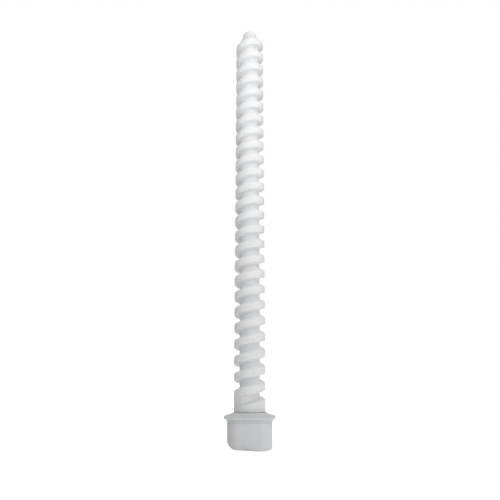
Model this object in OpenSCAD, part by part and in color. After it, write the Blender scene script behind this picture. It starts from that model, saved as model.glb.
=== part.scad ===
// Drill-driven spiral mixer: a stiff screw-shaped stirrer that turns in a short hand-held hub.
// The hub rests on z = 0 and the spiral stands up along +Z. Millimetres.

/* [Mixing spiral] */
// Diameter over the crests of the flight, and of the plain collar
spiral_d = 20; // [19:0.5:22]
// Diameter of the core between the flights
core_d = 13; // [12.8:0.2:14.4]
// Rise of the single-start flight in one turn
pitch = 10.33; // [9.6:0.01:11]
// Whole turns between the lowest and the highest crest on the +X side
turns = 24; // [10:1:24]
// Width of the crest land, as a share of the pitch
land_share = 0.42; // [0.36:0.02:0.48]
// Width of one sloping flank, as a share of the pitch
flank_share = 0.12; // [0.1:0.01:0.16]
// Height of the plain collar from its foot to the first crest on the +X side
collar_rise = 15.8; // [15.5:0.1:18]

/* [Nose plug] */
// Diameter of the domed head
nose_d = 10.2; // [9:0.2:11]
// Height of the domed head
nose_h = 5.6; // [4:0.2:7]
// Length of the stem that plugs the rod bore
nose_stem = 9; // [7:0.5:12]

/* [Hub] */
// Width across the flat sides of the hub
hub_w = 27.8; // [27.8:0.2:30]
// Height of the hub shell, up to the seam under the rim
shell_h = 16; // [15.8:0.2:17]
// Plan radius of the corners
corner_r = 8; // [7.6:0.2:8.6]
// Radius of the bottom edge on the left, -X, where the palm lies
palm_foot_r = 6.2; // [5.6:0.1:6.4]
// Radius of the bottom edge on the right, +X
thumb_foot_r = 2.2; // [1.8:0.1:2.6]
// Radius of the bottom edge at the front and the back
front_foot_r = 3; // [2.4:0.2:4]
// Thickness of the hub's side walls
wall = 2.2; // [2:0.1:2.4]
// Overhang of the flared rim past the hub's sides
rim_out = 2.2; // [1.6:0.2:3]
// Height of the rim's lip above the seam
rim_rise = 2.2; // [1.8:0.2:2.4]
// Height of the rim's crown, where it meets the collar, above the seam
crown_rise = 5.4; // [5.4:0.1:5.8]

/* [Drive] */
// Outer diameter of the drive sleeve
sleeve_d = 12; // [12:0.1:12.2]
// Width across flats of the hexagon socket, for a 6.35 mm bit
hex_af = 6.45; // [6.4:0.05:6.6]
// Depth of the hexagon socket
hex_depth = 15; // [13:0.5:15]
// Diameter of the stiffening rod in the core
rod_d = 6; // [5:0.5:6.5]
// Diameter of the cross pin
pin_d = 2; // [1.5:0.5:2.5]

/* [Clearances] */
// Radial running clearance of the sleeve in its bushes
running = 0.05; // [0.03:0.01:0.08]
// Axial gap under the collar
collar_gap = 0.3; // [0.2:0.05:0.4]

/* [Hidden] */
$fn = 64;
eps = 0.02;
cut = 0.5;
RING_FN = 32;

crest_r = spiral_d / 2;
core_r = core_d / 2;
sleeve_r = sleeve_d / 2;
rod_r = rod_d / 2;
pin_r = pin_d / 2;
hub_half = hub_w / 2;

// corners of the hub: side of X, side of Y
CORNERS = [[1, -1], [1, 1], [-1, 1], [-1, -1]];

// heights inside the hub, from the floor up
floor_h = 2.2;
entry_r = 4.4;
dust_top = floor_h + 1.6;
lower_bush_top = dust_top + 5.2;
bush_r = sleeve_r + 1.5;
boss_r = bush_r + 1.7;
ring_z = lower_bush_top + 0.3;
ring_h = 1;
ring_r = bush_r + 0.3;
groove_r = sleeve_r - 0.6;
washer_z = ring_z + ring_h + 0.1;
washer_h = 0.8;
spigot_z = washer_z + washer_h + 0.1;
upper_bush_top = shell_h + 0.4;
seat_r = sleeve_r + 2.3;
spigot_r = seat_r + 1.1;
seal_z = upper_bush_top + 0.2;
seal_top = seal_z + 3.2;
thrust_z = seal_top + 0.8;
thrust_r = crest_r - 0.7;
neck_r = sleeve_r + 0.6;
crown_z = shell_h + crown_rise;
crown_r = crest_r + 0.4;
lip_z = shell_h + rim_rise;
lip_h = 0.9;

// gasket rebate in the top of the shell's wall
gasket_h = 0.8;
gasket_out = 0.8;
gasket_w = 1.1;

// four cover screws, near the corners
screw_xy = 8.5;
screw_r = 1.25;
screw_head_r = 2;
screw_head_h = 1.4;
screw_sunk = 1.6;
screw_boss_r = 2.5;
insert_r = 1.9;
insert_h = 2.8;
screw_top = shell_h + insert_h - 0.2;

// rotor heights
collar_z = crown_z + collar_gap;
crest_z = collar_z + collar_rise;
spiral_top = crest_z + (turns + 0.435) * pitch;
sleeve_z = floor_h + 0.4;
sleeve_top = collar_z + 6.5;
socket_top = sleeve_z + hex_depth;
magnet_r = 2.9;
magnet_h = 2.2;
rod_z = socket_top + magnet_h + 1.1;
rod_top = spiral_top - nose_stem - 1;
pin_z = (rod_z + sleeve_top) / 2;
clip_z = sleeve_z + 9.8;
clip_wire_r = 0.4;
clip_mid_r = 3.55;
oring_r = 0.58;
oring_mid_r = rod_r + 0.6;
oring_pocket = 1.4;

// one turn of the flight: rows of the surface, as shares of the pitch from the crest's middle
half_land = land_share / 2;
ROWS = [-0.5, -half_land - flank_share, -half_land - flank_share / 2, -half_land,
        0, half_land, half_land + flank_share / 2, half_land + flank_share];
COLUMNS = 24;
FIRST_TURN = -3;
LAST_ROW = len(ROWS) * (turns + 4 - FIRST_TURN);

// the groove runs out into the collar over this stretch, in turns from the first +X crest
groove_shut = -0.95;
groove_open = -0.6;
// the flight runs out into the core over this stretch
flight_full = turns + 0.02;
flight_gone = turns + 0.42;
// the top end is trimmed by a cone that starts at this radius and has this slope
top_r = nose_d / 2 + 0.3;
top_slope = 1.15;

function clamp(x, low, high) = max(low, min(high, x));
function ease(t) = let (c = clamp(t, 0, 1)) c * c * (3 - 2 * c);

// height of the flight above the core, 0 to 1, at a distance of v pitches from the crest's middle
function flight(v) = 1 - ease((abs(v) - half_land) / flank_share);

// radius of the moulding at azimuth a (in turns) and height z
function spiral_r(a, z) =
    let (
        h = (z - crest_z) / pitch - a,
        ridge = round(h),
        groove = round(h - 0.5) + 0.5,
        run_out = 1 - ease((ridge + a - flight_full) / (flight_gone - flight_full)),
        depth = ease((groove + a - groove_shut) / (groove_open - groove_shut)),
        fill = max(flight(h - ridge) * run_out, 1 - depth)
    )
    min(core_r + (crest_r - core_r) * fill, top_r + (spiral_top - z) * top_slope);

// point of the spiral's surface: column c round the axis, row k along the flight
function spiral_point(c, k) =
    let (
        rows = len(ROWS),
        turn = FIRST_TURN + floor(k / rows),
        share = ROWS[k % rows],
        z = clamp(crest_z + pitch * (c / COLUMNS + turn + share), collar_z, spiral_top),
        r = spiral_r(c / COLUMNS, z),
        azimuth = 360 * c / COLUMNS
    )
    [r * cos(azimuth), r * sin(azimuth), z];

function spiral_index(c, k) =
    c < COLUMNS ? c * (LAST_ROW + 1) + k : min(k + len(ROWS), LAST_ROW);

// 2D plan of the hub, grown outwards by g
module plan(g = 0) {
    hull()
        for (corner = CORNERS)
            translate(corner * (hub_half - corner_r)) circle(r = corner_r + g);
}

// a tube from z = low to z = high
module tube(outer, inner, low, high) {
    translate([0, 0, low])
        difference() {
            cylinder(r = outer, h = high - low);
            translate([0, 0, -cut]) cylinder(r = inner, h = high - low + 2 * cut);
        }
}

module at_screws() {
    for (x = [-screw_xy, screw_xy], y = [-screw_xy, screw_xy]) translate([x, y, 0]) children();
}

// upright outline across the hub, with its own radius at each bottom corner
module foot_outline(left_r, right_r) {
    half = hub_half + 0.05;
    hull() {
        translate([-half + left_r, left_r]) circle(r = left_r, $fn = RING_FN);
        translate([half - right_r, right_r]) circle(r = right_r, $fn = RING_FN);
        translate([-half, shell_h]) square([2 * half, cut]);
    }
}

// outside of the shell: the plan, with its bottom edges rounded across X and across Y
module shell_body() {
    intersection() {
        linear_extrude(shell_h) plan();
        rotate([90, 0, 0])
            linear_extrude(2 * hub_w, center = true) foot_outline(palm_foot_r, thumb_foot_r);
        rotate([90, 0, 90])
            linear_extrude(2 * hub_w, center = true) foot_outline(front_foot_r, front_foot_r);
    }
}

// hollow of the shell, with a bevel that follows the rounded bottom edge
module shell_hollow() {
    bevel = 2.4;
    hollow_r = corner_r - wall;
    hull()
        for (corner = CORNERS)
            translate(corner * (hub_half - corner_r)) {
                translate([0, 0, floor_h])
                    cylinder(r1 = hollow_r - bevel, r2 = hollow_r, h = bevel, $fn = RING_FN);
                translate([0, 0, floor_h + bevel])
                    cylinder(r = hollow_r, h = shell_h, $fn = RING_FN);
            }
}

module hub_shell() {
    color([0.93, 0.94, 0.94])
        difference() {
            union() {
                difference() {
                    shell_body();
                    shell_hollow();
                }
                cylinder(r = boss_r, h = lower_bush_top);
                at_screws()
                    translate([0, 0, floor_h - 0.1]) cylinder(r = screw_boss_r, h = shell_h - floor_h + 0.1);
            }
            translate([0, 0, -cut]) cylinder(r = entry_r, h = floor_h + 2 * cut);
            translate([0, 0, floor_h]) cylinder(r = bush_r, h = shell_h);
            at_screws() {
                translate([0, 0, -cut]) cylinder(r = screw_r + 0.2, h = shell_h + 2 * cut);
                translate([0, 0, -cut])
                    cylinder(r = screw_head_r + 0.1, h = screw_head_h + screw_sunk + cut);
            }
            translate([0, 0, shell_h - gasket_h])
                linear_extrude(gasket_h + cut)
                    difference() {
                        plan(-gasket_out);
                        plan(-gasket_out - gasket_w);
                    }
        }
}

module splash_rim() {
    color([0.93, 0.94, 0.94])
        difference() {
            union() {
                hull() {
                    translate([0, 0, shell_h]) linear_extrude(eps) plan();
                    translate([0, 0, lip_z]) linear_extrude(lip_h) plan(rim_out);
                    translate([0, 0, lip_z - 0.3])
                        linear_extrude(lip_h + 0.6) plan(rim_out - 0.35);
                    translate([0, 0, crown_z - eps]) cylinder(r = crown_r, h = eps);
                }
                translate([0, 0, spigot_z])
                    cylinder(r = spigot_r, h = shell_h - spigot_z + 1);
            }
            translate([0, 0, spigot_z - cut]) cylinder(r = seat_r, h = seal_top - spigot_z + cut);
            translate([0, 0, spigot_z]) cylinder(r = neck_r, h = crown_z);
            translate([0, 0, thrust_z]) cylinder(r = thrust_r + 0.2, h = crown_z);
            at_screws()
                translate([0, 0, shell_h - cut]) cylinder(r = insert_r, h = insert_h + cut);
        }
}

module cover_gasket() {
    color([0.2, 0.2, 0.21])
        translate([0, 0, shell_h - gasket_h])
            linear_extrude(gasket_h)
                difference() {
                    plan(-gasket_out);
                    plan(-gasket_out - gasket_w);
                }
}

module cover_inserts() {
    color([0.78, 0.62, 0.3]) at_screws() tube(insert_r, screw_r, shell_h, shell_h + insert_h);
}

module cover_screws() {
    color([0.7, 0.71, 0.73])
        at_screws() {
            translate([0, 0, screw_sunk])
                difference() {
                    cylinder(r = screw_head_r, h = screw_head_h);
                    for (turn = [0, 90])
                        rotate([0, 0, turn])
                            translate([-1.2, -0.25, -cut]) cube([2.4, 0.5, cut + 0.7]);
                }
            translate([0, 0, screw_sunk + screw_head_h - eps])
                cylinder(r = screw_r, h = screw_top - screw_sunk - screw_head_h + eps);
        }
}

module dust_ring() {
    color([0.55, 0.53, 0.5]) tube(bush_r, sleeve_r + 0.1, floor_h, dust_top);
}

module lower_bush() {
    color([0.72, 0.56, 0.34]) tube(bush_r, sleeve_r + running, dust_top, lower_bush_top);
}

module upper_bush() {
    color([0.72, 0.56, 0.34]) tube(seat_r, sleeve_r + running, spigot_z, upper_bush_top);
}

// U-section seal: an outer wall, a web on top and a lip that leans on the sleeve
module lip_seal() {
    lip_r = sleeve_r + 0.12;
    color([0.16, 0.16, 0.17])
        rotate_extrude()
            polygon([
                [lip_r, seal_z + 0.4], [lip_r + 0.55, seal_z + 0.2], [lip_r + 0.55, seal_top - 1],
                [seat_r - 0.8, seal_top - 1], [seat_r - 0.8, seal_z], [seat_r, seal_z],
                [seat_r, seal_top], [lip_r + 0.2, seal_top]
            ]);
}

module seal_spring() {
    spring_r = 0.3;
    color([0.75, 0.76, 0.78])
        translate([0, 0, seal_z + 0.9])
            rotate_extrude() translate([sleeve_r + 0.12 + 0.55 + spring_r, 0]) circle(r = spring_r);
}

module thrust_washer() {
    color([0.9, 0.88, 0.8]) tube(thrust_r, sleeve_r + 0.2, thrust_z, collar_z - 0.05);
}

// steel sleeve: hexagon socket and magnet pocket below, rod bore above, snap-ring groove outside
module drive_sleeve() {
    color([0.72, 0.73, 0.75])
        difference() {
            translate([0, 0, sleeve_z]) cylinder(r = sleeve_r, h = sleeve_top - sleeve_z);
            translate([0, 0, sleeve_z - cut])
                rotate([0, 0, 30])
                    cylinder(r = hex_af / 2 / cos(30), h = hex_depth + cut, $fn = 6);
            translate([0, 0, socket_top - cut]) cylinder(r = magnet_r, h = magnet_h + cut);
            translate([0, 0, clip_z - 0.5]) cylinder(r = clip_mid_r + 0.45, h = 1);
            translate([0, 0, rod_z]) cylinder(r = rod_r, h = sleeve_top);
            tube(sleeve_r + cut, groove_r, ring_z - 0.05, ring_z + ring_h + 0.05);
            translate([-sleeve_r - cut, 0, pin_z])
                rotate([0, 90, 0]) cylinder(r = pin_r, h = sleeve_d + 2 * cut);
        }
}

module bit_clip() {
    color([0.6, 0.61, 0.63])
        translate([0, 0, clip_z])
            rotate([0, 0, 25])
                rotate_extrude(angle = 310) translate([clip_mid_r, 0]) circle(r = clip_wire_r);
}

module bit_magnet() {
    color([0.5, 0.5, 0.52])
        translate([0, 0, socket_top]) cylinder(r = magnet_r, h = magnet_h);
}

module core_rod() {
    chamfer = 0.6;
    color([0.72, 0.73, 0.75])
        difference() {
            union() {
                translate([0, 0, rod_z]) cylinder(r = rod_r, h = rod_top - chamfer - rod_z);
                translate([0, 0, rod_top - chamfer])
                    cylinder(r1 = rod_r, r2 = rod_r - chamfer, h = chamfer);
            }
            translate([-rod_r - cut, 0, pin_z])
                rotate([0, 90, 0]) cylinder(r = pin_r, h = rod_d + 2 * cut);
        }
}

module drive_pin() {
    length = sleeve_d - 0.4;
    color([0.62, 0.63, 0.66])
        translate([-length / 2, 0, pin_z]) rotate([0, 90, 0]) cylinder(r = pin_r, h = length);
}

module retaining_ring() {
    color([0.35, 0.35, 0.37])
        rotate([0, 0, 20])
            rotate_extrude(angle = 320)
                translate([groove_r, ring_z]) square([ring_r - groove_r, ring_h]);
}

module retaining_washer() {
    color([0.75, 0.76, 0.78])
        tube(ring_r + 0.1, sleeve_r + 0.1, washer_z, washer_z + washer_h);
}

module spiral_skin() {
    points = [for (c = [0 : COLUMNS - 1], k = [0 : LAST_ROW]) spiral_point(c, k)];
    walls = [
        for (c = [0 : COLUMNS - 1], k = [0 : LAST_ROW - 1])
            let (
                a = spiral_index(c, k),
                b = spiral_index(c + 1, k),
                d = spiral_index(c + 1, k + 1),
                e = spiral_index(c, k + 1)
            )
            each [[a, d, b], [a, e, d]]
    ];
    foot = [for (c = [0 : COLUMNS - 1]) spiral_index(c, 0)];
    top = [for (c = [COLUMNS - 1 : -1 : 0]) spiral_index(c, LAST_ROW)];
    polyhedron(points = points, faces = concat(walls, [foot, top]), convexity = 12);
}

module mixing_spiral() {
    color([0.93, 0.94, 0.94])
        difference() {
            spiral_skin();
            translate([0, 0, collar_z - cut]) cylinder(r = sleeve_r, h = sleeve_top - collar_z + cut);
            translate([0, 0, collar_z]) cylinder(r = rod_r, h = spiral_top - collar_z + cut);
            translate([0, 0, spiral_top - oring_pocket])
                cylinder(r = oring_mid_r + oring_r + eps, h = oring_pocket + cut);
        }
}

module nose_ring() {
    color([0.16, 0.16, 0.17])
        translate([0, 0, spiral_top - oring_pocket / 2])
            rotate_extrude() translate([oring_mid_r, 0]) circle(r = oring_r);
}

// domed head on a stem that fills the end of the rod bore
module nose_plug() {
    edge = 2.2;
    head_r = nose_d / 2;
    color([0.93, 0.94, 0.94]) {
        translate([0, 0, spiral_top - nose_stem]) cylinder(r = rod_r, h = nose_stem + eps);
        translate([0, 0, spiral_top])
            rotate_extrude() {
                square([head_r, nose_h - edge]);
                square([head_r - edge, nose_h]);
                translate([head_r - edge, nose_h - edge])
                    intersection() {
                        circle(r = edge);
                        square(edge);
                    }
            }
    }
}

hub_shell();
splash_rim();
cover_gasket();
cover_inserts();
cover_screws();
dust_ring();
lower_bush();
upper_bush();
lip_seal();
seal_spring();
thrust_washer();
drive_sleeve();
bit_clip();
bit_magnet();
core_rod();
drive_pin();
retaining_ring();
retaining_washer();
mixing_spiral();
nose_ring();
nose_plug();
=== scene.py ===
"""Looks of the drill-driven spiral mixer: milky moulded plastic round a steel and bronze drive."""

import math

import bmesh
import bpy
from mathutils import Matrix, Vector


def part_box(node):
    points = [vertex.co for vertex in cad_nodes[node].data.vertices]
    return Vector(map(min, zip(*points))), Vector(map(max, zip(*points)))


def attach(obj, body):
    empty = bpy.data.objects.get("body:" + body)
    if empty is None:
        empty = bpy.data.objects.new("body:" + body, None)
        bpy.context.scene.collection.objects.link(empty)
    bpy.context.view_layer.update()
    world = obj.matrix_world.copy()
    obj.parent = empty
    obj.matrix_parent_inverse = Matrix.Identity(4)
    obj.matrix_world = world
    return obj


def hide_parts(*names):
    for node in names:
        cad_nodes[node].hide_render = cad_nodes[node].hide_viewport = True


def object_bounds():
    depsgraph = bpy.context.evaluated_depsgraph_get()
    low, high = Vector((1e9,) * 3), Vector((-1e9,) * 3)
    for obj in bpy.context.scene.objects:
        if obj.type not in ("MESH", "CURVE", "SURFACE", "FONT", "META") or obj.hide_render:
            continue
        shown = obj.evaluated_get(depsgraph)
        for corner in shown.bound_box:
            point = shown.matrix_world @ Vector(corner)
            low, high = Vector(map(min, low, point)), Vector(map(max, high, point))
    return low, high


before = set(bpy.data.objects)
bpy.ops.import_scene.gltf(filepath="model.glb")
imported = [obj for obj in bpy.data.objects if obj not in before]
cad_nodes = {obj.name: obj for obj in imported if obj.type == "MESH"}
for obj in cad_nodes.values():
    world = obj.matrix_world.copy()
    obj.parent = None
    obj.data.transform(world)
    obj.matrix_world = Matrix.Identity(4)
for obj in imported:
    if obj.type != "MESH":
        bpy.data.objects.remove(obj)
cad_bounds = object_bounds()

# ---------------------------------------------------------------- sizes, in metres
MM = 0.001

shell_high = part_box("hub_shell")[1]
rim_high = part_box("splash_rim")[1]
spiral_low, spiral_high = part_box("mixing_spiral")
nose_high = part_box("nose_plug")[1]
sleeve_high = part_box("drive_sleeve")[1]
bush_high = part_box("lower_bush")[1]
seal_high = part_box("lip_seal")[1]
thrust_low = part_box("thrust_washer")[0]
spigot_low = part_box("upper_bush")[0].z
screw_low, screw_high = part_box("cover_screws")

# spiral: a single-start flight round a core
CREST_R = spiral_high.x
CORE_R = 6.5 * MM
PITCH = 10.33 * MM
TURNS = 24
FIRST_CREST = spiral_low.z + 15.8 * MM
# the flight's section: half its width at mid depth, then how far each flank leans either side of that,
# and how its crest and root are rounded
MID_HALF = 0.27 * PITCH
LOWER_LEAN = 0.2 * MM
LOWER_ROUND = 0.6 * MM
UPPER_LEAN = 0.6 * MM
UPPER_ROUND = 1.0 * MM
ROOT_ROUND = 1.6 * MM
# places along the flight, in turns from its first crest
GROOVE_SHUT = -0.95
GROOVE_OPEN = -0.6
FLIGHT_FULL = TURNS + 0.02
FLIGHT_GONE = TURNS + 0.42
# the cone that trims the last turn: its radius past the nose at the top, and its growth per metre down
TOP_SHOULDER = 0.3 * MM
TOP_SLOPE = 1.15
# columns of points round the axis, and the mould's two parting lines (azimuths in turns)
SPIRAL_COLUMNS = 80
PARTING_AZIMUTH = -0.21
PARTING_HALF = 0.0022
PARTING_RISE = 0.06 * MM

# nose
NOSE_R = nose_high.x
ROD_R = 3 * MM

# hub: a cup with a bottom edge rounded more at the palm's side (-X) than at the thumb's (+X)
HUB_HALF = shell_high.x
SHELL_H = shell_high.z
CORNER_R = 8 * MM
CORNER_XY = HUB_HALF - CORNER_R
PALM_FOOT_R = 6.2 * MM
THUMB_FOOT_R = 2.2 * MM
WALL = 2.2 * MM
FLOOR_H = 2.2 * MM
ENTRY_R = 4.4 * MM
BOSS_WALL = 1.7 * MM
BUSH_R = bush_high.x
LIP_Z = SHELL_H + 2.7 * MM
LIP_ROUND = 0.6 * MM
LIP_OUT = rim_high.x - HUB_HALF - LIP_ROUND
CROWN_R = CREST_R + 0.4 * MM
CROWN_Z = rim_high.z + 0.2 * MM
SEAT_R = seal_high.x
NECK_R = 6.6 * MM
RECESS_R = 9.5 * MM
SEAM = 0.05 * MM
SCREW_XY = 8.5 * MM
SCREW_PLACES = [(x, y) for x in (-SCREW_XY, SCREW_XY) for y in (-SCREW_XY, SCREW_XY)]
SCREW_HEAD_R = 2 * MM
SCREW_HEAD_H = 1.4 * MM
SCREW_BOSS_R = 2.5 * MM

# light: even light of the room, and far softboxes at the front, right and back and a black card at the
# left, each as (direction, cosine from it where it has faded out, strength)
ROOM_LIGHT = 0.36
SOFTBOXES = [
    ((0.1, -1, -0.2), 0.3, 0.4),
    ((1, -0.3, 0), 0.1, 0.29),
    ((-0.3, 1, 0.1), 0.1, 0.29),
    ((-1, -0.25, -0.1), 0.2, -0.15),
]


# ---------------------------------------------------------------- mesh helpers
def mesh_object(name, points, faces, smooth_angle=32):
    """A mesh piece with outward normals, smooth but for edges over smooth_angle degrees."""
    mesh = bpy.data.meshes.new(name)
    mesh.from_pydata(points, [], faces)
    piece = bpy.data.objects.new(name, mesh)
    bpy.context.scene.collection.objects.link(piece)
    tidy_mesh(piece, smooth_angle)
    return piece


def tidy_mesh(piece, smooth_angle=32):
    """Merges doubled points, turns normals outwards and marks edges over smooth_angle degrees as sharp."""
    work = bmesh.new()
    work.from_mesh(piece.data)
    bmesh.ops.remove_doubles(work, verts=work.verts, dist=0.002 * MM)
    bmesh.ops.recalc_face_normals(work, faces=work.faces)
    limit = math.radians(smooth_angle)
    for face in work.faces:
        face.smooth = True
    for edge in work.edges:
        edge.smooth = len(edge.link_faces) == 2 and edge.calc_face_angle(0) < limit
    work.to_mesh(piece.data)
    work.free()


def loft(rings, closed=False):
    """Points and quads through rings of equal length. A closed loft joins its last ring to its first."""
    count = len(rings[0])
    points = [p for ring in rings for p in ring]
    faces = []
    pairs = len(rings) if closed else len(rings) - 1
    for r in range(pairs):
        a, b = r * count, (r + 1) % len(rings) * count
        for i in range(count):
            j = (i + 1) % count
            faces.append((a + i, a + j, b + j, b + i))
    return points, faces


def revolve(name, profile, segments):
    """A turned solid from (radius, z) points that start and end on the axis."""
    rings = []
    for radius, z in profile:
        ring = []
        for i in range(segments):
            angle = 2 * math.pi * i / segments
            ring.append((radius * math.cos(angle), radius * math.sin(angle), z))
        rings.append(ring)
    points, faces = loft(rings)
    return mesh_object(name, points, faces)


def arc(centre_r, centre_z, radius, start, end, steps):
    """Profile points on an arc, with angles in degrees."""
    out = []
    for i in range(steps + 1):
        angle = math.radians(start + (end - start) * i / steps)
        out.append((centre_r + radius * math.cos(angle), centre_z + radius * math.sin(angle)))
    return out


def rounded(corners, radii, steps):
    """An open outline through corners, with each inner corner rounded by its radius."""
    out = [corners[0]]
    for i in range(1, len(corners) - 1):
        here, before, after = (Vector(corners[k]) for k in (i, i - 1, i + 1))
        radius = radii[i - 1]
        into, away = (before - here).normalized(), (after - here).normalized()
        half = into.angle(away) / 2
        reach = radius / math.tan(half)
        centre = here + (into + away).normalized() * radius / math.sin(half)
        start, end = here + into * reach - centre, here + away * reach - centre
        turn = start.angle_signed(end)
        first = math.atan2(start.y, start.x)
        for k in range(steps + 1):
            angle = first - turn * k / steps
            out.append((centre.x + radius * math.cos(angle), centre.y + radius * math.sin(angle)))
    out.append(corners[-1])
    return out


def combine(piece, tool, operation):
    """Joins tool to piece (UNION) or takes it out (DIFFERENCE), and removes the tool."""
    step = piece.modifiers.new("combine", "BOOLEAN")
    step.operation = operation
    step.solver = "EXACT"
    step.object = tool
    bpy.context.view_layer.update()
    cut = piece.evaluated_get(bpy.context.evaluated_depsgraph_get())
    shape = bpy.data.meshes.new_from_object(cut)
    piece.modifiers.clear()
    piece.data = shape
    bpy.data.objects.remove(tool)


def stand_in(piece, body, node):
    """The piece rides on a body and stands in for a CAD node, which is hidden."""
    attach(piece, body)
    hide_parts(node)


# ---------------------------------------------------------------- mixing spiral
def ease(t):
    """Smooth step from 0 to 1 as t goes from 0 to 1."""
    t = min(max(t, 0.0), 1.0)
    return t * t * (3 - 2 * t)


def half_profile(lean, crest_round):
    """Half a turn of the flight as (distance from the crest's middle, height over the core)."""
    depth = CREST_R - CORE_R
    corners = [(0, depth), (MID_HALF - lean, depth), (MID_HALF + lean, 0), (PITCH / 2, 0)]
    return rounded(corners, (crest_round, ROOT_ROUND), 5)


def flight_profile():
    """One turn of the flight, groove to groove: steeper below the crest than above it."""
    below = half_profile(LOWER_LEAN, LOWER_ROUND)
    above = half_profile(UPPER_LEAN, UPPER_ROUND)
    return [(-z, h) for z, h in reversed(below[1:-1])] + above


def spiral_columns():
    """Azimuths in turns with a rise for the two parting lines of the mould."""
    columns = [(i / SPIRAL_COLUMNS, 0.0) for i in range(SPIRAL_COLUMNS)]
    for side in (0, 0.5):
        middle = (PARTING_AZIMUTH + side) % 1
        columns = [c for c in columns if abs(c[0] - middle) > 3 * PARTING_HALF]
        columns += [(middle - PARTING_HALF, 0.0), (middle, PARTING_RISE), (middle + PARTING_HALF, 0.0)]
    return sorted(columns)


def spiral_point(azimuth, rise, turn, offset, height):
    """A point of the flight's surface, faded into the collar below and the core above."""
    depth = CREST_R - CORE_R
    z = FIRST_CREST + PITCH * (azimuth + turn) + offset
    z = min(max(z, spiral_low.z), spiral_high.z)
    along = (z - FIRST_CREST) / PITCH - azimuth
    ridge, groove = round(along), round(along - 0.5) + 0.5
    run_out = 1 - ease((ridge + azimuth - FLIGHT_FULL) / (FLIGHT_GONE - FLIGHT_FULL))
    opened = ease((groove + azimuth - GROOVE_SHUT) / (GROOVE_OPEN - GROOVE_SHUT))
    fill = max(height / depth * run_out, 1 - opened)
    top_r = NOSE_R + TOP_SHOULDER + (spiral_high.z - z) * TOP_SLOPE
    radius = min(CORE_R + depth * fill + rise, top_r)
    angle = 2 * math.pi * azimuth
    return radius * math.cos(angle), radius * math.sin(angle), z


def spiral_skin(columns):
    """Points and quads of the flight's outer surface, and the number of rows up it.

    A row climbs by one pitch on its way round, so the last column joins the first one a turn higher up.
    Rows past either end of the moulding fall together on its end faces.
    """
    profile = flight_profile()
    per_turn = len(profile)
    first_turn, last_turn = -3, TURNS + 5
    rows = [(first_turn + k // per_turn, *profile[k % per_turn])
            for k in range(per_turn * (last_turn - first_turn))]
    points = [spiral_point(*column, *row) for column in columns for row in rows]
    top = len(rows) - 1
    faces = []
    for c in range(len(columns)):
        seam = c == len(columns) - 1
        here = c * len(rows)
        for k in range(top):
            beside = min(k + per_turn, top) if seam else here + len(rows) + k
            above = min(k + 1 + per_turn, top) if seam else beside + 1
            faces.append((here + k, here + k + 1, above, beside))
    return points, faces, len(rows)


def make_spiral():
    """The flight with flat ends and a stepped bore for the rod and the drive sleeve."""
    columns = spiral_columns()
    points, faces, row_count = spiral_skin(columns)
    bore = [(ROD_R, spiral_high.z), (ROD_R, sleeve_high.z),
            (sleeve_high.x, sleeve_high.z), (sleeve_high.x, spiral_low.z)]
    rings = [[c * row_count + row_count - 1 for c in range(len(columns))]]
    for radius, z in bore:
        rings.append(list(range(len(points), len(points) + len(columns))))
        for azimuth, _ in columns:
            angle = 2 * math.pi * azimuth
            points.append((radius * math.cos(angle), radius * math.sin(angle), z))
    rings.append([c * row_count for c in range(len(columns))])
    for a, b in zip(rings, rings[1:]):
        for c in range(len(columns)):
            d = (c + 1) % len(columns)
            faces.append((a[c], a[d], b[d], b[c]))
    spiral = mesh_object("spiral_moulding", points, faces, smooth_angle=40)
    stand_in(spiral, "rotor", "mixing_spiral")
    return spiral


def make_nose():
    """A domed head on a stem, with a small gate mark in a ring-shaped dent."""
    edge = 2.2 * MM
    gate_r, gate_h = 0.9 * MM, 0.12 * MM
    dent_out, dent_in = gate_r + 0.25 * MM, gate_r + 0.1 * MM
    dent_z = 0.1 * MM
    stem_r, stem_h = ROD_R - 0.05 * MM, 9 * MM
    top = nose_high.z - gate_h
    foot = spiral_high.z + 0.02 * MM
    profile = [(0, spiral_high.z - stem_h), (stem_r, spiral_high.z - stem_h), (stem_r, foot),
               (NOSE_R - 0.15 * MM, foot), (NOSE_R, spiral_high.z + 0.2 * MM)]
    profile += arc(NOSE_R - edge, top - edge, edge, 0, 84, 12)
    profile += [(dent_out, top - 0.02 * MM), (dent_in, top - dent_z), (gate_r, top - dent_z),
                (gate_r * 0.92, nose_high.z), (0, nose_high.z)]
    nose = revolve("nose_dome", profile, 72)
    stand_in(nose, "rotor", "nose_plug")
    return nose


# ---------------------------------------------------------------- hub
def hub_plan():
    """Points round the hub's plan with their outward directions, from the front right corner on."""
    arc_steps, side_steps = 16, 10
    plan = []
    for index, (side_x, side_y) in enumerate([(1, -1), (1, 1), (-1, 1), (-1, -1)]):
        for k in range(arc_steps + 1):
            angle = math.radians(-90 + 90 * (index + k / arc_steps))
            out_x, out_y = math.cos(angle), math.sin(angle)
            plan.append((side_x * CORNER_XY + CORNER_R * out_x, side_y * CORNER_XY + CORNER_R * out_y,
                         out_x, out_y))
        x, y, out_x, out_y = plan[-1]
        for k in range(1, side_steps):
            along = 2 * CORNER_XY * k / side_steps
            plan.append((x - out_y * along, y + out_x * along, out_x, out_y))
    return plan


HUB_PLAN = hub_plan()


def plan_ring(grow, z, circle_r=None, share=0.0):
    """A ring round the hub's plan, grown outwards, and blended into a circle by share."""
    out = []
    for x, y, out_x, out_y in HUB_PLAN:
        x, y = x + grow * out_x, y + grow * out_y
        if circle_r is not None:
            angle = math.atan2(y, x)
            x += (circle_r * math.cos(angle) - x) * share
            y += (circle_r * math.sin(angle) - y) * share
        out.append((x, y, z))
    return out


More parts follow.
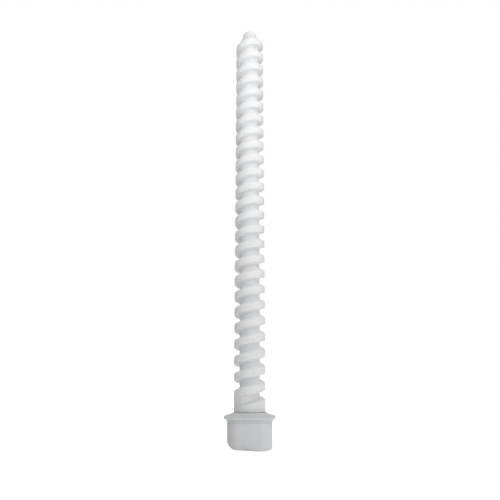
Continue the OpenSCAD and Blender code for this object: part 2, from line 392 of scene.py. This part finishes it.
def foot_ring(turn):
    """A ring of the rounded bottom edge, from its underside (turn 0) to the upright wall (turn 1)."""
    angle = math.pi / 2 * turn
    out = []
    for x, y, out_x, out_y in HUB_PLAN:
        radius = PALM_FOOT_R + (THUMB_FOOT_R - PALM_FOOT_R) * ease((x + CORNER_XY) / (2 * CORNER_XY))
        inset, z = radius * (1 - math.sin(angle)), radius * (1 - math.cos(angle))
        out.append((x - inset * out_x, y - inset * out_y, z))
    return out


def circle_ring(radius, z):
    """A round ring with as many points as the hub's plan."""
    return plan_ring(0, z, radius, 1.0)


def add_screw_bosses(shell):
    """Four bosses inside the cup, drilled from below for the screws' heads and shanks."""
    head_r, head_top = SCREW_HEAD_R + 0.1 * MM, screw_low.z + SCREW_HEAD_H
    shank_r = 1.45 * MM
    boss_low, boss_high = FLOOR_H - 0.1 * MM, SHELL_H - 0.3 * MM
    boss = [(0, boss_low), (SCREW_BOSS_R, boss_low), (SCREW_BOSS_R, boss_high), (0, boss_high)]
    hole = [(0, -MM), (head_r, -MM), (head_r, head_top), (shank_r, head_top), (shank_r, SHELL_H),
            (0, SHELL_H)]
    for profile, operation in ((boss, "UNION"), (hole, "DIFFERENCE")):
        for x, y in SCREW_PLACES:
            tool = revolve("tool", profile, 40)
            tool.location = (x, y, 0)
            combine(shell, tool, operation)


def make_shell():
    """The cup: entry hole, rounded bottom edge, wall up to the seam, and the bearing's boss inside."""
    boss_r = BUSH_R + BOSS_WALL
    mouth = 0.35 * MM
    bevel = 2.4 * MM
    foot_steps = 14
    rings = [circle_ring(ENTRY_R, FLOOR_H), circle_ring(ENTRY_R, mouth),
             circle_ring(ENTRY_R + mouth * 0.3, mouth * 0.3), circle_ring(ENTRY_R + mouth, 0)]
    rings += [foot_ring(k / foot_steps) for k in range(foot_steps + 1)]
    rings += [plan_ring(0, SHELL_H * 0.45), plan_ring(0, SHELL_H * 0.7), plan_ring(0, SHELL_H - SEAM)]
    rings += [plan_ring(-0.3 * SEAM, SHELL_H - 0.3 * SEAM), plan_ring(-SEAM, SHELL_H)]
    rings += [plan_ring(-WALL, SHELL_H), plan_ring(-WALL, FLOOR_H + bevel),
              plan_ring(-WALL - bevel, FLOOR_H)]
    rings += [circle_ring(boss_r, FLOOR_H), circle_ring(boss_r, bush_high.z),
              circle_ring(BUSH_R, bush_high.z), circle_ring(BUSH_R, FLOOR_H)]
    points, faces = loft(rings, closed=True)
    shell = mesh_object("hub_cup", points, faces)
    add_screw_bosses(shell)
    tidy_mesh(shell)
    stand_in(shell, "hub", "hub_shell")
    return shell


def crown_rings():
    """The rim's upper side, from the lip up to the round crown under the spiral's collar."""
    steps, sag = 12, 0.2
    lip_top, top = LIP_Z + LIP_ROUND, CROWN_Z - 0.05 * MM
    rings = []
    for k in range(1, steps + 1):
        s = k / steps
        z = lip_top + (top - lip_top) * ((1 - sag) * s + sag * s * s)
        rings.append(plan_ring(LIP_OUT * (1 - s), z, CROWN_R, ease(s) * 0.25 + s * 0.75))
    return rings


def make_rim():
    """The cover: seam, flare (outwards, up, in mm), rolled lip, crown, and the seats inside."""
    flare = [(0.06, 0.3), (0.16, 0.65), (0.36, 1.05), (0.68, 1.5), (1.1, 1.95), (1.5, 2.28)]
    lip_start, lip_sweep, lip_steps = -40, 130, 7
    crown_edge = 0.12 * MM
    recess_edge = 0.15 * MM
    rings = [circle_ring(RECESS_R, SHELL_H), plan_ring(-SEAM, SHELL_H),
             plan_ring(-0.3 * SEAM, SHELL_H + 0.3 * SEAM), plan_ring(0, SHELL_H + SEAM)]
    rings += [plan_ring(g * MM, SHELL_H + h * MM) for g, h in flare]
    for k in range(lip_steps + 1):
        angle = math.radians(lip_start + lip_sweep * k / lip_steps)
        rings.append(plan_ring(LIP_OUT + LIP_ROUND * math.cos(angle), LIP_Z + LIP_ROUND * math.sin(angle)))
    rings += crown_rings()
    rings += [circle_ring(CROWN_R - crown_edge, CROWN_Z), circle_ring(RECESS_R + recess_edge, CROWN_Z),
              circle_ring(RECESS_R, CROWN_Z - recess_edge), circle_ring(RECESS_R, thrust_low.z),
              circle_ring(NECK_R, thrust_low.z), circle_ring(NECK_R, seal_high.z),
              circle_ring(SEAT_R, seal_high.z), circle_ring(SEAT_R, spigot_low),
              circle_ring(RECESS_R, spigot_low)]
    points, faces = loft(rings, closed=True)
    rim = mesh_object("flared_rim", points, faces)
    stand_in(rim, "hub", "splash_rim")
    return rim


def screw_profile():
    """A pan head, a plain neck and a ridged shank, from the head up to the tip."""
    shank_r, thread_pitch = 1.2 * MM, 0.9 * MM
    root_r = shank_r * 0.82
    head_r = SCREW_HEAD_R - 0.03 * MM
    low, high = screw_low.z, screw_high.z
    head_top = low + SCREW_HEAD_H
    profile = [(0, low)] + [(SCREW_HEAD_R * s, low + 0.35 * MM * s ** 3) for s in (0.3, 0.6, 0.85)]
    profile += [(head_r, low + 0.6 * MM), (head_r, head_top), (shank_r, head_top + 0.02 * MM)]
    z = head_top + 1.5 * MM
    while z < high - 2 * thread_pitch:
        profile += [(root_r, z), (shank_r, z + thread_pitch / 2)]
        z += thread_pitch
    return profile + [(root_r, z), (0, high)]


def make_screw(x, y):
    """One screw at a place, its cross recess turned by a different angle in each corner."""
    recess = [(0, -MM), (0.36 * MM, -MM), (0.22 * MM, 0.9 * MM), (0, 0.9 * MM)]
    recess_length = 4.2
    screwed_in = 20 * (x > 0) + 35 * (y > 0)
    screw = revolve("cover_screw", screw_profile(), 40)
    for turn in (0, 90):
        arm = revolve("arm", recess, 4)
        arm.scale = (recess_length, 1, 1)
        arm.rotation_euler.z = math.radians(turn + screwed_in)
        arm.location.z = screw_low.z
        combine(screw, arm, "DIFFERENCE")
    for vertex in screw.data.vertices:
        vertex.co += Vector((x, y, 0))
    return screw


def make_screws():
    """Four pan-head screws with cross recesses, as one piece."""
    screws, *others = [make_screw(x, y) for x, y in SCREW_PLACES]
    work = bmesh.new()
    work.from_mesh(screws.data)
    for screw in others:
        work.from_mesh(screw.data)
        bpy.data.objects.remove(screw)
    work.to_mesh(screws.data)
    work.free()
    tidy_mesh(screws)
    screws.name = "cross_head_screws"
    stand_in(screws, "hub", "cover_screws")
    return screws


# ---------------------------------------------------------------- materials
class Nodes:
    """Short calls for building a material's node tree."""

    def __init__(self, name):
        self.material = bpy.data.materials.new(name)
        self.material.use_nodes = True
        self.tree = self.material.node_tree
        self.shader = self.tree.nodes["Principled BSDF"]
        self.place = self.add("ShaderNodeTexCoord").outputs["Object"]

    def add(self, kind, **settings):
        node = self.tree.nodes.new(kind)
        for key, value in settings.items():
            if hasattr(node, key):
                setattr(node, key, value)
            else:
                node.inputs[key.replace("_", " ")].default_value = value
        return node

    def link(self, output, target):
        self.tree.links.new(output, target)

    def noise(self, scale, detail, stretch=(1, 1, 1), roughness=0.5):
        mapping = self.add("ShaderNodeMapping")
        mapping.inputs["Scale"].default_value = stretch
        self.link(self.place, mapping.inputs["Vector"])
        noise = self.add("ShaderNodeTexNoise", Scale=scale, Detail=detail, Roughness=roughness)
        self.link(mapping.outputs[0], noise.inputs["Vector"])
        return noise.outputs["Fac"]

    def ramp(self, value, stops):
        ramp = self.add("ShaderNodeValToRGB")
        line = ramp.color_ramp
        while len(line.elements) < len(stops):
            line.elements.new(0.5)
        for element, (position, colour) in zip(line.elements, stops):
            element.position = position
            element.color = (*colour, 1)
        self.link(value, ramp.inputs["Fac"])
        return ramp.outputs["Color"]

    def mix(self, factor, one, two):
        mix = self.add("ShaderNodeMix", data_type="RGBA")
        for value, socket in ((factor, mix.inputs["Factor"]), (one, mix.inputs["A"]), (two, mix.inputs["B"])):
            if isinstance(value, (int, float)):
                socket.default_value = value
            elif isinstance(value, tuple):
                socket.default_value = (*value, 1)
            else:
                self.link(value, socket)
        return mix.outputs["Result"]

    def span(self, value, low, high, start=0.3, end=0.7):
        spread = self.add("ShaderNodeMapRange")
        for key, number in (("From Min", start), ("From Max", end), ("To Min", low), ("To Max", high)):
            spread.inputs[key].default_value = number
        self.link(value, spread.inputs["Value"])
        return spread.outputs["Result"]

    def bump(self, height, strength, distance, under=None):
        bump = self.add("ShaderNodeBump", Strength=strength, Distance=distance)
        self.link(height, bump.inputs["Height"])
        if under is not None:
            self.link(under, bump.inputs["Normal"])
        return bump.outputs["Normal"]

    def set(self, **values):
        for key, value in values.items():
            socket = self.shader.inputs[key.replace("_", " ")]
            if isinstance(value, bpy.types.NodeSocket):
                self.link(value, socket)
            else:
                socket.default_value = value


def milky_plastic(name, tone, flow_stretch, depth):
    """Natural polypropylene: light sinks in, faint flow clouds, fine moulded skin, and sharp edges painted
    lighter, partly as rubbed wear and partly as painted light glowing through the thin plastic.
    """
    n = Nodes(name)
    clouds = n.noise(90, 3, flow_stretch)
    specks = n.noise(1400, 2)
    skin = n.noise(2600, 5, roughness=0.6)
    drag = n.noise(420, 3, (1, 1, 0.08))
    shade = tuple(c * 0.93 for c in tone)
    base = n.ramp(clouds, [(0.3, shade), (0.7, tone)])
    warm = tuple(c * f for c, f in zip(tone, (1.0, 0.995, 0.975)))
    base = n.mix(n.span(specks, 0, 0.35, 0.55, 0.75), base, warm)
    geometry = n.add("ShaderNodeNewGeometry")
    # Sharp edges painted lighter by pointiness: partly rubbed wear, partly painted light glowing through the
    # thin plastic.
    edges = n.span(geometry.outputs["Pointiness"], 0, 0.5, 0.5, 0.56)
    edge_wear_and_glow = tuple(min(1, c * 1.05) for c in tone)
    base = n.mix(edges, base, edge_wear_and_glow)
    normal = n.bump(drag, 0.10, 0.06 * MM)
    normal = n.bump(skin, 0.16, 0.04 * MM, normal)
    n.set(Base_Color=base, Roughness=n.span(skin, 0.36, 0.5), Normal=normal,
          Subsurface_Weight=1.0, Subsurface_Scale=depth, Subsurface_Radius=(1.0, 0.98, 0.95),
          IOR=1.49, Specular_IOR_Level=0.35)
    return n.material


def turned_metal(name, tone, roughness, lines=2600, lines_stretch=(0.04, 0.04, 1)):
    """Metal with fine tool lines, round its axis unless stretched otherwise, and duller patches."""
    n = Nodes(name)
    tool = n.noise(lines, 4, lines_stretch)
    patches = n.noise(160, 3)
    dull = tuple(c * 0.8 for c in tone)
    base = n.ramp(patches, [(0.3, dull), (0.65, tone)])
    normal = n.bump(tool, 0.25, 0.03 * MM)
    n.set(Base_Color=base, Metallic=1.0, Normal=normal,
          Roughness=n.span(patches, roughness * 0.8, roughness * 1.3))
    return n.material


def rubber(name):
    """Black nitrile rubber with a faint grey bloom."""
    n = Nodes(name)
    grain = n.noise(3200, 4)
    bloom = n.noise(260, 3)
    base = n.ramp(bloom, [(0.35, (0.03, 0.03, 0.032)), (0.75, (0.065, 0.065, 0.068))])
    n.set(Base_Color=base, Roughness=n.span(grain, 0.55, 0.75), Normal=n.bump(grain, 0.3, 0.04 * MM))
    return n.material


def felt(name):
    """Pressed grey fibres."""
    n = Nodes(name)
    fibres = n.noise(2400, 6, (1, 1, 2.5), 0.7)
    base = n.ramp(fibres, [(0.3, (0.22, 0.21, 0.19)), (0.7, (0.42, 0.4, 0.37))])
    n.set(Base_Color=base, Roughness=0.95, Normal=n.bump(fibres, 0.8, 0.1 * MM), Sheen_Weight=0.4)
    return n.material


def acetal(name):
    """Natural acetal: cream, slightly waxy, finely turned."""
    n = Nodes(name)
    skin = n.noise(2200, 4)
    base = n.ramp(n.noise(200, 3), [(0.3, (0.74, 0.72, 0.64)), (0.7, (0.8, 0.78, 0.71))])
    n.set(Base_Color=base, Roughness=n.span(skin, 0.32, 0.45), Normal=n.bump(skin, 0.12, 0.03 * MM),
          Subsurface_Weight=0.2, Subsurface_Scale=MM)
    return n.material


def wear(piece, material):
    """Gives a piece its only material."""
    piece.data.materials.clear()
    piece.data.materials.append(material)


def finish_surfaces(spiral, nose, shell, rim, screws):
    """Materials for the pieces made here and for every CAD node that is kept as it is."""
    spiral_milk = milky_plastic("milky_spiral", (0.915, 0.922, 0.932), (1, 1, 0.35), 6 * MM)
    # The hub's copy of the same plastic has a darker tone than the spiral's: painted shade for the dimmer
    # light low on the object.
    shaded_hub_milk = milky_plastic("milky_hub_painted_shade", (0.8, 0.807, 0.82), (1, 1, 0.6), 0.4 * MM)
    steel = turned_metal("turned_steel", (0.62, 0.63, 0.65), 0.3)
    bronze = turned_metal("sintered_bronze", (0.6, 0.4, 0.2), 0.45, 3200, (1, 1, 1))
    brass = turned_metal("brass", (0.75, 0.55, 0.24), 0.3)
    spring = turned_metal("spring_steel", (0.55, 0.56, 0.58), 0.25)
    zinc = turned_metal("zinc_plate", (0.66, 0.67, 0.69), 0.34, 1800, (1, 1, 1))
    nickel = turned_metal("nickel", (0.7, 0.69, 0.66), 0.18)
    blackened = turned_metal("blackened_steel", (0.07, 0.07, 0.075), 0.4)
    black_rubber = rubber("nitrile_rubber")
    wear(spiral, spiral_milk)
    wear(nose, spiral_milk)
    wear(shell, shaded_hub_milk)
    wear(rim, shaded_hub_milk)
    wear(screws, zinc)
    kept = {"cover_gasket": black_rubber, "lip_seal": black_rubber, "nose_ring": black_rubber,
            "cover_inserts": brass, "dust_ring": felt("grey_felt"), "lower_bush": bronze,
            "upper_bush": bronze, "seal_spring": spring, "bit_clip": spring,
            "retaining_washer": spring, "thrust_washer": acetal("natural_acetal"),
            "drive_sleeve": steel, "core_rod": steel, "drive_pin": steel, "bit_magnet": nickel,
            "retaining_ring": blackened}
    for node, material in kept.items():
        wear(cad_nodes[node], material)


# ---------------------------------------------------------------- stage
def make_floor():
    """A wide pale floor, a little self-lit so that it blends into the white backdrop."""
    mesh = bpy.data.meshes.new("floor")
    reach = 6.0
    mesh.from_pydata([(-reach, -reach, 0), (reach, -reach, 0), (reach, reach, 0), (-reach, reach, 0)],
                     [], [(0, 1, 2, 3)])
    floor = bpy.data.objects.new("floor", mesh)
    bpy.context.scene.collection.objects.link(floor)
    floor.location.z = cad_bounds[0].z
    n = Nodes("pale_floor")
    base = n.ramp(n.noise(3, 3), [(0.3, (0.93, 0.93, 0.93)), (0.7, (0.95, 0.95, 0.95))])
    n.set(Base_Color=base, Roughness=0.9, Specular_IOR_Level=0.1,
          Emission_Color=(1, 1, 1, 1), Emission_Strength=0.85)
    wear(floor, n.material)
    floor.visible_diffuse = False


def softbox(tree, directions, aim, start, light):
    """Light from a round softbox far off along aim, or light that a black card takes away if negative.

    It is full along aim and fades to none where the cosine with aim has fallen to start.
    """
    facing = tree.nodes.new("ShaderNodeVectorMath")
    facing.operation = "DOT_PRODUCT"
    facing.inputs[1].default_value = Vector(aim).normalized()
    spread = tree.nodes.new("ShaderNodeMapRange")
    spread.interpolation_type = "SMOOTHSTEP"
    for key, number in (("From Min", start), ("From Max", 1.0), ("To Min", 0.0), ("To Max", light)):
        spread.inputs[key].default_value = number
    tree.links.new(directions, facing.inputs[0])
    tree.links.new(facing.outputs["Value"], spread.inputs["Value"])
    return spread.outputs["Result"]


def make_world():
    """White to the eye all round, but lighting like softboxes in a dimmer room."""
    world = bpy.data.worlds.new("studio")
    world.use_nodes = True
    tree = world.node_tree
    directions = tree.nodes.new("ShaderNodeTexCoord").outputs["Generated"]
    lit = tree.nodes["Background"]
    lit.inputs["Color"].default_value = (1, 1, 1, 1)
    total = None
    for aim, start, light in SOFTBOXES:
        together = tree.nodes.new("ShaderNodeMath")
        together.operation = "ADD"
        together.inputs[1].default_value = ROOM_LIGHT
        tree.links.new(softbox(tree, directions, aim, start, light), together.inputs[0])
        if total is not None:
            tree.links.new(total, together.inputs[1])
        total = together.outputs[0]
    tree.links.new(total, lit.inputs["Strength"])
    seen = tree.nodes.new("ShaderNodeBackground")
    seen.inputs["Color"].default_value = (1, 1, 1, 1)
    path = tree.nodes.new("ShaderNodeLightPath")
    choice = tree.nodes.new("ShaderNodeMixShader")
    tree.links.new(path.outputs["Is Camera Ray"], choice.inputs[0])
    tree.links.new(lit.outputs[0], choice.inputs[1])
    tree.links.new(seen.outputs[0], choice.inputs[2])
    tree.links.new(choice.outputs[0], tree.nodes["World Output"].inputs["Surface"])
    bpy.context.scene.world = world


def add_area(name, place, aim, size, watts):
    """A soft white lamp that neither shows in the picture nor mirrors itself in the plastic."""
    light = bpy.data.lights.new(name, "AREA")
    light.shape = "RECTANGLE"
    light.size, light.size_y = size
    light.energy = watts
    lamp = bpy.data.objects.new(name, light)
    lamp.location = place
    lamp.rotation_euler = (Vector(aim) - Vector(place)).to_track_quat("-Z", "Y").to_euler()
    lamp.visible_camera = False
    lamp.visible_glossy = False
    bpy.context.scene.collection.objects.link(lamp)


def make_lights():
    """Two lamps that lift the upper half of the spiral."""
    add_area("tip_softbox", (0.02, -0.25, 0.26), (0, 0, 0.34), (0.12, 0.12), 0.26)
    add_area("side_softbox", (-0.16, -0.25, 0.3), (0, 0, 0.27), (0.1, 0.2), 0.08)


def make_camera():
    """Stands low in front of the hub and looks up along the spiral."""
    focal_share = 0.9754
    side, distance, height = 0.2 * MM, 321.2 * MM, 46.25 * MM
    tilt = 13.98
    data = bpy.data.cameras.new("camera")
    data.sensor_width = 36
    data.lens = focal_share * data.sensor_width
    data.clip_start = 10 * MM
    camera = bpy.data.objects.new("camera", data)
    camera.location = (side, -distance, height)
    camera.rotation_euler = (math.radians(90 + tilt), 0, 0)
    bpy.context.scene.collection.objects.link(camera)
    bpy.context.scene.camera = camera


make_camera()
finish_surfaces(make_spiral(), make_nose(), make_shell(), make_rim(), make_screws())
make_floor()
make_world()
make_lights()
bpy.context.scene.view_settings.view_transform = "Standard"
